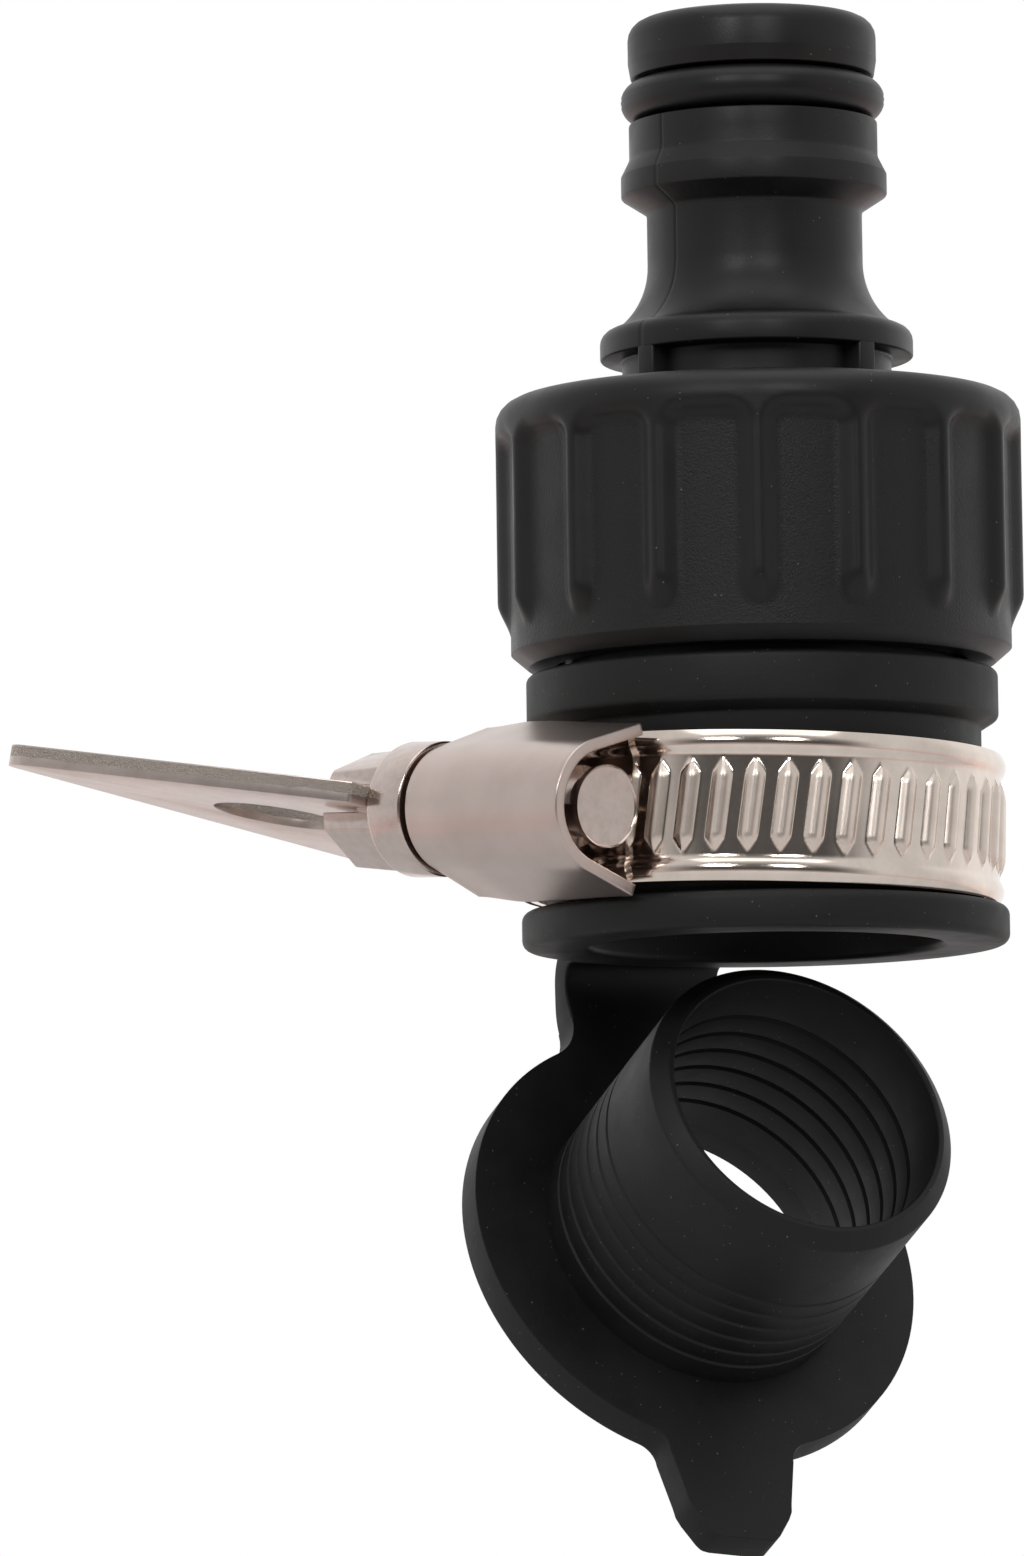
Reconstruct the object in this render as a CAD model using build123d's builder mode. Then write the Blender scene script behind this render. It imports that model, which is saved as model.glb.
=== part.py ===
from build123d import *
import os
from math import atan2, cos, degrees, pi, radians, sin

# Tap adapter: a rubber sleeve that a worm-drive clamp grips on a tap's spout, with a
# threaded insert in its top and a one-piece hose connector screwed on to that.
# Frame: origin in the centre of the sleeve's mouth, +Z up the axis to the hose plug,
# -Y towards the viewer. Millimetres and degrees.

# Fits
running_gap = 0.08
loose_gap = 0.3

# Rubber sleeve
sleeve_wall = 2.7
sleeve_height = 17.45
mouth_flange_step = 1.6
mouth_flange_thickness = 2.4
waist_wall = 0.4
collar_wall = 1.52
collar_height = 3.05
collar_slope = 0.7
rubber_edge = 0.6

# Threaded insert, 3/4 inch pipe thread left as a plain cylinder
thread_radius = 13.05
insert_wall = 4.05
insert_flange_step = 0.45
insert_flange_thickness = 1.9
insert_flange_lift = 14.5
insert_length = 13.6
thread_chamfer = 1.0

# Union nut, the lower half of the connector moulding
nut_bottom = 18.0
nut_top = 35.1
nut_wall = 3.72
nut_foot_step = 1.87
nut_foot_chamfer = 0.94
nut_band_step = 0.77
nut_band_height = 1.7
nut_slope_height = 1.55
nut_shoulder = 1.6
nut_roof = 2.7
rib_count = 16
rib_crest = 0.6
rib_flank = 1.2
pocket_depth = 0.82
pocket_top = 33.0
pocket_corner = 1.9

# Washer in the nut
washer_width = 4.75
washer_thickness = 2.4

# Skirt and neck between nut and plug
core_radius = 8.6
skirt_radius = 10.0
skirt_bottom = 37.66
skirt_side = 1.04
skirt_top_radius = 9.0
skirt_round_height = 0.9
skirt_round_bulge = 0.22
neck_radius = 6.88
neck_sweep_height = 4.2
web_thickness = 1.4
web_sink = 1.0
web_angle = 43.5
moulding_turn = -1.5
web_count = 4

# Hose plug
water_way_radius = 4.5
neck_top = 47.15
plug_collar_radius = 8.5
plug_collar_slope = 1.05
plug_collar_length = 1.3
plug_radius = 7.95
plug_collar_fall = 1.1
groove_bottom = 52.9
groove_width = 2.9
groove_gap = 0.03
plug_lip_slope = 1.05
plug_lip_depth = 0.17
plug_top = 59.6
plug_nose_round = 1.25
water_way_chamfer = 0.5
o_ring_section = 2.62
o_ring_radius = 8.45

# Worm-drive clamp
clamp_height = 7.62
clamp_tilt = 1.7
clamp_azimuth = 223.4
band_seat = 0.6
band_thickness = 0.5
band_width = 9.45
band_rim_width = 1.25
band_rim_rise = 0.16
tail_thickness = 0.4
tail_cover = 14.0
tail_reach = 74.0
ridge_pitch = 2.05
ridge_width = 1.3
ridge_length = 5.7
ridge_rise = 0.36
ridge_slant = 6.5
ridge_slope = 12.0
ridge_start = 18.9
ridge_point = 0.9
ridge_count = 30
tail_ridge_count = 8
tail_ridge_rise = 0.2

# Screw housing, a bent sheet saddle over the screw
screw_lift = 3.3
screw_pitch = 2.8
screw_pivot = 2.2
sheet = 0.8
housing_tip = 4.6
housing_shoulder = 5.0
housing_end = 9.55
housing_round_radius = 4.1
housing_arch_radius = 4.35
housing_tip_half_width = 5.45
housing_half_width = 5.75
housing_end_half_width = 5.4
housing_foot_lift = 1.1

# Screw: threaded shank, collar and slotted hexagon head
shank_radius = 2.6
shank_tip = 4.5
collar_disc_radius = 4.3
collar_disc_thickness = 3.35
head_across_flats = 7.0
head_length = 4.8

# Butterfly key plate
key_thickness = 1.3
key_slot_gap = 0.3
key_turn = 7.0
key_lean = 1.6
key_root_half = 5.6
key_end_half = 16.85
key_length = 21.8
key_corner = 1.2
key_hole_radius = 4.5
key_hole_place = 12.4

# Reducer: flanged sleeve on a rubber strap
reducer_azimuth = 117.6
reducer_open = 62.1
reducer_flange_radius = 15.45
reducer_flange_thickness = 2.2
reducer_sleeve_radius = 10.5
reducer_bore_radius = 9.15
reducer_sleeve_length = 16.9
reducer_lip = 0.9
reducer_lip_wall = 0.35
ring_groove_count = 6
ring_groove_pitch = 1.5
ring_groove_start = 1.9
ring_groove_depth = 0.3
ring_groove_width = 0.45
bore_groove_count = 6
bore_groove_pitch = 2.0
bore_groove_start = 2.5
bore_groove_depth = 0.3
bore_groove_width = 0.6
hinge_reach = 20.0
hinge_drop = 0.8
strap_width = 11.2
strap_shift = 1.0
knuckle_gap = 0.45
tab_root_width = 8.8
tab_shoulder_width = 7.5
tab_shoulder_place = 3.6
tab_end_width = 4.2
tab_length = 6.6
tab_corner = 1.6
tab_turn = -6.0

os.makedirs("parts", exist_ok=True)

# Connector moulding: nut, skirt, neck and hose plug in one revolved body
insert_flange_radius = thread_radius + insert_flange_step
waist_radius = insert_flange_radius + waist_wall
socket_radius = waist_radius - sleeve_wall
mouth_flange_radius = waist_radius + mouth_flange_step
band_inner_radius = waist_radius + band_seat
nut_bore_radius = thread_radius + running_gap
nut_radius = thread_radius + nut_wall
nut_foot_radius = nut_radius - nut_foot_step
nut_band_radius = nut_radius - nut_band_step
pocket_floor_radius = nut_radius - pocket_depth
insert_top = insert_flange_lift + insert_flange_thickness + insert_length
roof_underside = nut_top - nut_roof
slope_bottom = nut_bottom + nut_band_height
slope_top = slope_bottom + nut_slope_height
skirt_rim_top = skirt_bottom + skirt_side
sweep_bottom = skirt_rim_top + skirt_round_height
sweep_top = sweep_bottom + neck_sweep_height
sweep_step = skirt_top_radius - neck_radius
sweep_radius = (sweep_step**2 + neck_sweep_height**2) / (2 * sweep_step)
sweep_centre = neck_radius + sweep_radius
sweep_turn = atan2(neck_sweep_height, sweep_radius - sweep_step)
collar_bottom = neck_top + plug_collar_slope
collar_top = collar_bottom + plug_collar_length
land_bottom = collar_top + plug_collar_fall
groove_top = groove_bottom + groove_width
groove_root = o_ring_radius - o_ring_section - groove_gap
lip_top = groove_top + plug_lip_slope

with BuildPart() as grip_pocket:
    with BuildSketch(Plane.XY.offset(nut_bottom - nut_band_height)):
        with BuildLine():
            pitch_width = 2 * pi * pocket_floor_radius / rib_count
            floor_half = (pitch_width - rib_crest - 2 * rib_flank) / 2
            rib_rise = nut_radius - pocket_floor_radius
            reach = nut_radius + rib_rise
            reach_half = floor_half + rib_flank * (reach - pocket_floor_radius) / rib_rise
            Polyline(
                (pocket_floor_radius, -floor_half),
                (reach, -reach_half),
                (reach, reach_half),
                (pocket_floor_radius, floor_half),
                close=True,
            )
        make_face()
    extrude(amount=pocket_top - nut_bottom + nut_band_height)
    with BuildSketch(Plane.YZ):
        pocket_height = pocket_top - nut_bottom + nut_band_height
        with Locations((0, pocket_top - pocket_height / 2)):
            RectangleRounded(2 * floor_half + 2 * rib_flank, pocket_height, pocket_corner)
    extrude(amount=2 * nut_radius, mode=Mode.INTERSECT)

with BuildPart() as tap_connector:
    with BuildSketch(Plane.XZ):
        with BuildLine():
            Polyline(
                (nut_bore_radius, nut_bottom),
                (nut_foot_radius, nut_bottom),
                (nut_band_radius, nut_bottom + nut_foot_chamfer),
                (nut_band_radius, slope_bottom),
                (nut_radius, slope_top),
                (nut_radius, nut_top - nut_shoulder),
            )
            JernArc((nut_radius, nut_top - nut_shoulder), (0, 1), nut_shoulder, 90)
            Polyline(
                (nut_radius - nut_shoulder, nut_top),
                (core_radius, nut_top),
                (core_radius, skirt_bottom),
                (skirt_radius, skirt_bottom),
                (skirt_radius, skirt_rim_top),
            )
            ThreePointArc(
                (skirt_radius, skirt_rim_top),
                (skirt_radius - skirt_round_bulge, skirt_rim_top + 0.6 * skirt_round_height),
                (skirt_top_radius, sweep_bottom),
            )
            ThreePointArc(
                (skirt_top_radius, sweep_bottom),
                (
                    sweep_centre - sweep_radius * cos(sweep_turn / 2),
                    sweep_top - sweep_radius * sin(sweep_turn / 2),
                ),
                (neck_radius, sweep_top),
            )
            Polyline(
                (neck_radius, sweep_top),
                (neck_radius, neck_top),
                (plug_collar_radius, collar_bottom),
                (plug_collar_radius, collar_top),
                (plug_radius, land_bottom),
                (plug_radius, groove_bottom),
                (groove_root, groove_bottom),
                (groove_root, groove_top),
                (plug_radius - plug_lip_depth, groove_top),
                (plug_radius, lip_top),
                (plug_radius, plug_top - plug_nose_round),
            )
            JernArc((plug_radius, plug_top - plug_nose_round), (0, 1), plug_nose_round, 90)
            Polyline(
                (plug_radius - plug_nose_round, plug_top),
                (water_way_radius, plug_top),
                (water_way_radius, roof_underside),
                (nut_bore_radius, roof_underside),
                (nut_bore_radius, nut_bottom),
            )
        make_face()
    revolve(axis=Axis.Z)
    with PolarLocations(0, rib_count, start_angle=-90 + moulding_turn + 180 / rib_count):
        add(grip_pocket.part, mode=Mode.SUBTRACT)
    with BuildSketch(Plane.XY.offset(nut_top)):
        with PolarLocations((core_radius - web_sink + skirt_radius) / 2, web_count, start_angle=web_angle):
            Rectangle(skirt_radius - core_radius + web_sink, web_thickness)
    extrude(amount=skirt_bottom - nut_top)
    water_rim = tap_connector.edges().filter_by(GeomType.CIRCLE).filter_by(
        lambda e: abs(e.radius - water_way_radius) < 0.01
    )
    chamfer(water_rim.sort_by(Axis.Z)[-1], length=water_way_chamfer)
tap_connector.part.label = "tap_connector"

with BuildPart() as nose_o_ring:
    with BuildSketch(Plane.XZ):
        with Locations((o_ring_radius - o_ring_section / 2, groove_bottom + groove_width / 2)):
            Circle(o_ring_section / 2)
    revolve(axis=Axis.Z)
nose_o_ring.part.label = "nose_o_ring"

with BuildPart() as sealing_washer:
    with BuildSketch(Plane.XY.offset(insert_top)):
        Circle(thread_radius - loose_gap)
        Circle(thread_radius - loose_gap - washer_width, mode=Mode.SUBTRACT)
    extrude(amount=washer_thickness)
sealing_washer.part.label = "sealing_washer"

with BuildPart() as threaded_insert:
    with BuildSketch(Plane.XY.offset(insert_flange_lift)):
        Circle(insert_flange_radius)
    extrude(amount=insert_flange_thickness)
    with BuildSketch(Plane.XY.offset(insert_flange_lift + insert_flange_thickness)):
        Circle(thread_radius)
    extrude(amount=insert_length)
    chamfer(threaded_insert.faces().sort_by(Axis.Z)[-1].edges(), length=thread_chamfer)
    Hole(thread_radius - insert_wall)
threaded_insert.part.label = "threaded_insert"

# Strap, drawn in the upright plane that holds the sleeve's axis and the hinge line.
# Its x runs outward from the axis and its y runs up.
hinge_side = Plane(origin=(0, 0, 0), x_dir=(cos(radians(reducer_azimuth)), sin(radians(reducer_azimuth)), 0),
                   z_dir=(sin(radians(reducer_azimuth)), -cos(radians(reducer_azimuth)), 0))
strap_side = hinge_side.offset(strap_shift)
strap_thickness = 2 * hinge_drop
half_strap = strap_thickness / 2
strap_height = mouth_flange_thickness / 2
strap_bend = strap_height + hinge_drop
bend_start = hinge_reach - strap_bend

with BuildPart() as strap_root:
    with BuildSketch(strap_side):
        with BuildLine():
            Line((waist_radius, strap_height), (bend_start, strap_height))
            JernArc((bend_start, strap_height), (1, 0), strap_bend, -90)
        trace(line_width=strap_thickness)
    extrude(amount=strap_width / 2, both=True)
    with BuildSketch(strap_side):
        with Locations((hinge_reach, -hinge_drop)):
            Circle(half_strap + knuckle_gap)
    extrude(amount=strap_width, both=True, mode=Mode.SUBTRACT)

with BuildPart() as rubber_body:
    with BuildSketch(Plane.XZ):
        with BuildLine():
            flange_top = mouth_flange_thickness
            collar_bottom_height = sleeve_height - collar_height
            flange_seat_top = insert_flange_lift + insert_flange_thickness
            Polyline(
                (socket_radius, 0),
                (mouth_flange_radius - rubber_edge, 0),
                (mouth_flange_radius, rubber_edge),
                (mouth_flange_radius, flange_top - rubber_edge),
                (mouth_flange_radius - rubber_edge, flange_top),
                (waist_radius, flange_top),
                (waist_radius, collar_bottom_height - collar_slope),
                (insert_flange_radius + collar_wall, collar_bottom_height),
                (insert_flange_radius + collar_wall, sleeve_height),
                (thread_radius, sleeve_height),
                (thread_radius, flange_seat_top),
                (insert_flange_radius, flange_seat_top),
                (insert_flange_radius, insert_flange_lift),
                (socket_radius, insert_flange_lift),
                close=True,
            )
        make_face()
    revolve(axis=Axis.Z)
    add(strap_root.part)
rubber_body.part.label = "rubber_body"

# Clamp frame: x runs outward through the screw housing, z along the band's axis
def turned(plane, angle):
    """The same plane turned about its own normal."""
    across = plane.x_dir * cos(radians(angle)) + plane.y_dir * sin(radians(angle))
    return Plane(origin=plane.origin, x_dir=across, z_dir=plane.z_dir)


tilted = Plane(
    origin=(0, 0, clamp_height),
    x_dir=(cos(radians(clamp_tilt)), 0, -sin(radians(clamp_tilt))),
    z_dir=(sin(radians(clamp_tilt)), 0, cos(radians(clamp_tilt))),
)
clamp_plane = turned(tilted, clamp_azimuth)
clamp_axis = Axis(clamp_plane.origin, clamp_plane.z_dir)
band_outer_radius = band_inner_radius + band_thickness
ridge_step = degrees(ridge_pitch / band_outer_radius)


tail_ridge_start = -tail_reach + 2 * ridge_step


def side_plane(angle):
    """Upright plane through the band's axis: x outward at that angle, y up the axis."""
    spoke = turned(clamp_plane, angle)
    return Plane(origin=spoke.origin, x_dir=spoke.x_dir, z_dir=-spoke.y_dir)


def spoke_plane(radius, angle):
    """Plane square to a spoke of the band: x along the band, y up the clamp's axis."""
    spoke = turned(clamp_plane, angle)
    start = spoke.from_local_coords(Vector(radius, 0, 0))
    return turned(Plane(origin=start, x_dir=spoke.y_dir, z_dir=spoke.x_dir), -ridge_slant)


def ridge_outline():
    """One pressed ridge seen square on: a bar with pointed ends."""
    half_width = ridge_width / 2
    half_length = ridge_length / 2
    shoulder = half_length - ridge_point
    with BuildSketch() as outline:
        with BuildLine():
            Polyline(
                (half_width, -shoulder),
                (half_width, shoulder),
                (0, half_length),
                (-half_width, shoulder),
                (-half_width, -shoulder),
                (0, -half_length),
                close=True,
            )
        make_face()
    return outline.sketch


with BuildPart() as clamp_band:
    with BuildSketch(side_plane(0)):
        with Locations((band_inner_radius + band_thickness / 2, 0)):
            Rectangle(band_thickness, band_width)
        rim_place = (band_width - band_rim_width) / 2
        with Locations((band_outer_radius, rim_place), (band_outer_radius, -rim_place)):
            Rectangle(2 * band_rim_rise, band_rim_width)
    revolve(axis=clamp_axis)
    with BuildSketch(side_plane(-tail_reach)):
        with Locations((band_outer_radius + tail_thickness / 2, 0)):
            Rectangle(tail_thickness, band_width)
    revolve(axis=clamp_axis, revolution_arc=tail_reach + tail_cover)
    for number in range(ridge_count):
        ridge_angle = ridge_start + number * ridge_step
        with BuildSketch(spoke_plane(band_inner_radius + band_thickness / 2, ridge_angle)):
            add(ridge_outline())
        extrude(amount=band_thickness / 2 + ridge_rise, taper=ridge_slope)
    for number in range(tail_ridge_count):
        ridge_angle = tail_ridge_start + number * ridge_step
        with BuildSketch(spoke_plane(band_outer_radius + tail_thickness / 2, ridge_angle)):
            add(ridge_outline())
        extrude(amount=tail_thickness / 2 + tail_ridge_rise, taper=ridge_slope)
clamp_band.part.label = "clamp_band"

# Screw frame: z runs along the screw from its tip to the key, x points away from the band
screw_radius_out = band_outer_radius + screw_lift
pitch = radians(screw_pitch)
screw_direction = clamp_plane.z_dir * sin(pitch) - clamp_plane.y_dir * cos(pitch)
screw_middle = clamp_plane.from_local_coords(Vector(screw_radius_out, -screw_pivot, 0))
screw_plane = Plane(
    origin=screw_middle - screw_direction * screw_pivot,
    x_dir=clamp_plane.x_dir,
    z_dir=screw_direction,
)
housing_foot = band_inner_radius + housing_foot_lift - screw_radius_out
housing_sections = [
    (-housing_tip, housing_arch_radius, housing_tip_half_width),
    (housing_shoulder, housing_arch_radius, housing_half_width),
    (housing_end, housing_round_radius, housing_end_half_width),
]


def saddle_outline(radius, half_width, foot):
    """A round arch whose straight arms spread to the foot line."""
    with BuildSketch() as outline:
        Circle(radius)
        with Locations((foot + sheet / 2, 0)):
            Rectangle(sheet, 2 * half_width)
        make_hull()
        with Locations((foot - radius, 0)):
            Rectangle(2 * radius, 4 * radius, mode=Mode.SUBTRACT)
    return outline.sketch


with BuildPart() as housing_room:
    for place, radius, half_width in housing_sections:
        with BuildSketch(screw_plane.offset(place)):
            add(saddle_outline(radius - sheet, half_width - sheet, housing_foot - sheet))
    loft(ruled=True)

with BuildPart() as clamp_housing:
    for place, radius, half_width in housing_sections:
        with BuildSketch(screw_plane.offset(place)):
            add(saddle_outline(radius, half_width, housing_foot))
    loft(ruled=True)
    add(housing_room.part, mode=Mode.SUBTRACT)
clamp_housing.part.label = "clamp_housing"

# Screw with its collar against the housing's end
collar_start = housing_end + loose_gap / 3
head_start = collar_start + collar_disc_thickness
key_plane = turned(screw_plane, key_turn).offset(head_start)

with BuildPart() as clamp_screw:
    with BuildSketch(screw_plane.offset(-shank_tip)):
        Circle(shank_radius)
    extrude(amount=shank_tip + collar_start)
    with BuildSketch(screw_plane.offset(collar_start)):
        Circle(collar_disc_radius)
    extrude(amount=collar_disc_thickness)
    with BuildSketch(key_plane):
        RegularPolygon(head_across_flats / 2, 6, major_radius=False, rotation=30)
        Rectangle(2 * collar_disc_radius, key_thickness + key_slot_gap, mode=Mode.SUBTRACT)
    extrude(amount=head_length)
clamp_screw.part.label = "clamp_screw"

# Flat key, cut from sheet and held in the head's slot: x across, y along the screw
lean = radians(key_lean)
key_face = Plane(
    origin=key_plane.origin,
    x_dir=key_plane.x_dir,
    z_dir=key_plane.z_dir * sin(lean) - key_plane.y_dir * cos(lean),
)

with BuildPart() as key_plate:
    with BuildSketch(key_face) as key_outline:
        with BuildLine():
            Polyline(
                (-key_root_half, 0),
                (key_root_half, 0),
                (key_end_half, key_length),
                (-key_end_half, key_length),
                close=True,
            )
        make_face()
        outer_corners = key_outline.vertices().filter_by(lambda v: Vector(*v).Y > key_hole_place)
        fillet(outer_corners, radius=key_corner)
        with Locations((0, key_hole_place)):
            Circle(key_hole_radius, mode=Mode.SUBTRACT)
    extrude(amount=key_thickness / 2, both=True)
key_plate.part.label = "key_plate"

# Reducer frame: origin in the middle of the flange's mating face, z along the sleeve,
# x out along the strap. It swings about a line hinge_drop under that face.
swing = radians(reducer_open)
face_x = hinge_reach * (1 - cos(swing)) - hinge_drop * sin(swing)
face_y = -hinge_drop - hinge_reach * sin(swing) + hinge_drop * cos(swing)
outward = hinge_side.x_dir
reducer_plane = Plane(
    origin=hinge_side.from_local_coords(Vector(face_x, face_y, 0)),
    x_dir=outward * cos(swing) + Vector(0, 0, sin(swing)),
    z_dir=Vector(0, 0, cos(swing)) - outward * sin(swing),
)
reducer_side = Plane(origin=reducer_plane.origin, x_dir=reducer_plane.x_dir, z_dir=-reducer_plane.y_dir)
reducer_axis = Axis(reducer_plane.origin, reducer_plane.z_dir)
sleeve_bottom = -reducer_flange_thickness
lip_bottom = reducer_sleeve_length - reducer_lip


def on_rim(vertex):
    """True for a corner where a lug meets the round flange."""
    return abs(Vector(*vertex).length - reducer_flange_radius) < 0.01


with BuildPart() as reducer:
    with BuildSketch(reducer_plane.offset(sleeve_bottom)) as flange_outline:
        Circle(reducer_flange_radius)
        with BuildLine():
            tab_root = reducer_flange_radius - tab_length / 2
            tab_shoulder = reducer_flange_radius + tab_shoulder_place
            tab_tip = reducer_flange_radius + tab_length
            turned_tab = Rot(0, 0, 180 + tab_turn)
            tab_points = [
                (tab_root, -tab_root_width / 2),
                (tab_shoulder, -tab_shoulder_width / 2),
                (tab_tip, -tab_end_width / 2),
                (tab_tip, tab_end_width / 2),
                (tab_shoulder, tab_shoulder_width / 2),
                (tab_root, tab_root_width / 2),
            ]
            Polyline(*[(turned_tab * Pos(x, y)).position for x, y in tab_points], close=True)
        make_face()
        fillet(flange_outline.vertices().filter_by(on_rim), radius=tab_corner)
    extrude(amount=reducer_flange_thickness)
    with BuildSketch(reducer_plane.offset(-strap_thickness)) as strap_outline:
        Circle(reducer_flange_radius)
        with Locations((hinge_reach / 2, -strap_shift)):
            Rectangle(hinge_reach, strap_width)
        root_fillet = min(2 * tab_corner, hinge_reach - reducer_flange_radius)
        fillet(strap_outline.vertices().filter_by(on_rim), radius=root_fillet)
    extrude(amount=strap_thickness)
    with BuildSketch(reducer_side.offset(strap_shift)):
        with Locations((hinge_reach, -hinge_drop)):
            Circle(half_strap)
    extrude(amount=strap_width / 2, both=True)
    with BuildSketch(reducer_side):
        with BuildLine():
            outer_points = [
                (reducer_bore_radius, sleeve_bottom / 2),
                (reducer_sleeve_radius, sleeve_bottom / 2),
            ]
            for number in range(ring_groove_count):
                groove_place = ring_groove_start + number * ring_groove_pitch
                outer_points += [
                    (reducer_sleeve_radius, groove_place - ring_groove_width / 2),
                    (reducer_sleeve_radius - ring_groove_depth, groove_place),
                    (reducer_sleeve_radius, groove_place + ring_groove_width / 2),
                ]
            outer_points += [
                (reducer_sleeve_radius, lip_bottom),
                (reducer_bore_radius + reducer_lip_wall, reducer_sleeve_length),
                (reducer_bore_radius, reducer_sleeve_length),
            ]
            Polyline(*outer_points, close=True)
        make_face()
    revolve(axis=reducer_axis)
    with BuildSketch(reducer_plane.offset(sleeve_bottom)):
        Circle(reducer_bore_radius)
    extrude(amount=reducer_flange_thickness + reducer_sleeve_length, mode=Mode.SUBTRACT)
    with BuildSketch(reducer_side):
        for number in range(bore_groove_count):
            groove_place = bore_groove_start + number * bore_groove_pitch
            with BuildLine():
                Polyline(
                    (reducer_bore_radius - bore_groove_depth, groove_place - bore_groove_width),
                    (reducer_bore_radius + bore_groove_depth, groove_place),
                    (reducer_bore_radius - bore_groove_depth, groove_place + bore_groove_width),
                    close=True,
                )
            make_face()
    revolve(axis=reducer_axis, mode=Mode.SUBTRACT)
reducer.part.label = "reducer"

pieces = [
    tap_connector,
    nose_o_ring,
    sealing_washer,
    threaded_insert,
    rubber_body,
    clamp_band,
    clamp_housing,
    clamp_screw,
    key_plate,
    reducer,
]
for piece in pieces:
    export_step(piece.part, f"parts/{piece.part.label}.step")
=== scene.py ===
import bpy
from math import acos, atan2, ceil, cos, degrees, hypot, pi, radians, sin, tan
from mathutils import Matrix, Vector


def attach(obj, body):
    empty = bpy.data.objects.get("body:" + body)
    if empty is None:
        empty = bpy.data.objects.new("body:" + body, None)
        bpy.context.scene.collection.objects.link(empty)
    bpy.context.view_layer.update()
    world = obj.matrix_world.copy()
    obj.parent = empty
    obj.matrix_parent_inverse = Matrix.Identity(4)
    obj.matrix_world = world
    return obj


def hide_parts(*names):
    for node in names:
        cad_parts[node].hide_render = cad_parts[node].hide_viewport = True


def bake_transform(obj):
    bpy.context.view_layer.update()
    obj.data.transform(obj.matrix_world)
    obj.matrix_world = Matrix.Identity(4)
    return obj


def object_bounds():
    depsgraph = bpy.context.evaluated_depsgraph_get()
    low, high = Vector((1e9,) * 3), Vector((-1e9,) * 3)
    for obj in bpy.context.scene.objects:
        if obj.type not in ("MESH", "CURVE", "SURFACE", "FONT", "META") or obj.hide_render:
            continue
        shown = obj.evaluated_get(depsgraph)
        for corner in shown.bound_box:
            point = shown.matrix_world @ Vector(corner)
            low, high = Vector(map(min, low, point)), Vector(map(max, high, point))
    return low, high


# The tap adapter's finished look: every piece of the frame gets its soft corners, grip
# pockets, pressed ridges, threads and finishes. Sizes are real millimetres, times mm.
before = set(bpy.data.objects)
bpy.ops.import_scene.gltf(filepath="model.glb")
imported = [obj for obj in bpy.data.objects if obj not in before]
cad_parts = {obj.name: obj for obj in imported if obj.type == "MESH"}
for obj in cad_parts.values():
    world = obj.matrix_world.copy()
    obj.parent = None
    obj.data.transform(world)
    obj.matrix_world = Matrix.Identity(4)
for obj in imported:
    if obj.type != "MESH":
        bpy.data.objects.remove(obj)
cad_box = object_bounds()
mm = 0.001

# Distance within which points are welded, least rounding of a moulded edge, degrees in a rounding's step
weld = 0.002 * mm
soft_edge = 0.15 * mm
arc_step = 20.0

# Connector moulding: nut, skirt, neck and hose plug
nut_bore = 13.13 * mm
nut_bottom = 18.0 * mm
nut_top = 35.1 * mm
nut_radius = 16.77 * mm
nut_foot_radius = 14.9 * mm
nut_foot_chamfer = 0.94 * mm
nut_band_radius = 16.0 * mm
nut_band_top = 19.7 * mm
nut_slope_top = 20.0 * mm
nut_shoulder = 1.6 * mm
roof_underside = 32.4 * mm
rib_count = 16
rib_crest = 0.35 * mm
rib_flank = 1.2 * mm
pocket_floor = 15.95 * mm
pocket_top = 33.0 * mm
pocket_corner = 1.9 * mm
pocket_end_slope = 0.9 * mm
pocket_ease = 0.4
parting_angle = -137.0
parting_depth = 0.06 * mm
parting_spread = 0.8
rib_end = 22.1 * mm
rib_end_slope = 2.0 * mm
steps_per_rib = 24
grip_rows = 42
sweep_pieces = 14
core_radius = 8.6 * mm
skirt_radius = 10.0 * mm
skirt_bottom = 37.66 * mm
skirt_top_radius = 9.0 * mm
sweep_bottom = 39.6 * mm
sweep_top = 43.8 * mm
sweep_corner = 0.9 * mm
neck_radius = 6.88 * mm
neck_top = 47.15 * mm
plug_collar_radius = 8.5 * mm
plug_collar_slope = 1.05 * mm
plug_collar_length = 1.3 * mm
plug_collar_fall = 1.1 * mm
plug_radius = 7.95 * mm
groove_bottom = 52.9 * mm
groove_width = 2.9 * mm
groove_root = 5.8 * mm
plug_lip_slope = 1.05 * mm
plug_lip_depth = 0.17 * mm
plug_top = 59.6 * mm
plug_nose_round = 1.25 * mm
water_way = 4.5 * mm
neck_wall_least = 1.0 * mm
web_thickness = 1.4 * mm
web_angle = 43.5
moulding_turn = -1.5
web_count = 4
web_inset = 1.0 * mm
web_sink = 0.2 * mm
web_round = 0.2 * mm
o_ring_section = 2.62 * mm
o_ring_radius = 8.45 * mm
o_ring_flash = 0.05 * mm
o_ring_points = 48

# Washer and threaded insert
washer_inner = 8.0 * mm
washer_outer = 12.75 * mm
thread_crest = 13.05 * mm
thread_depth = 1.0 * mm
thread_pitch = 1.814 * mm
thread_lead = 0.6 * mm
insert_bore = 9.0 * mm
insert_flange = 13.5 * mm
insert_bottom = 14.5 * mm
insert_flange_top = 16.4 * mm
insert_top = 30.0 * mm

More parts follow.
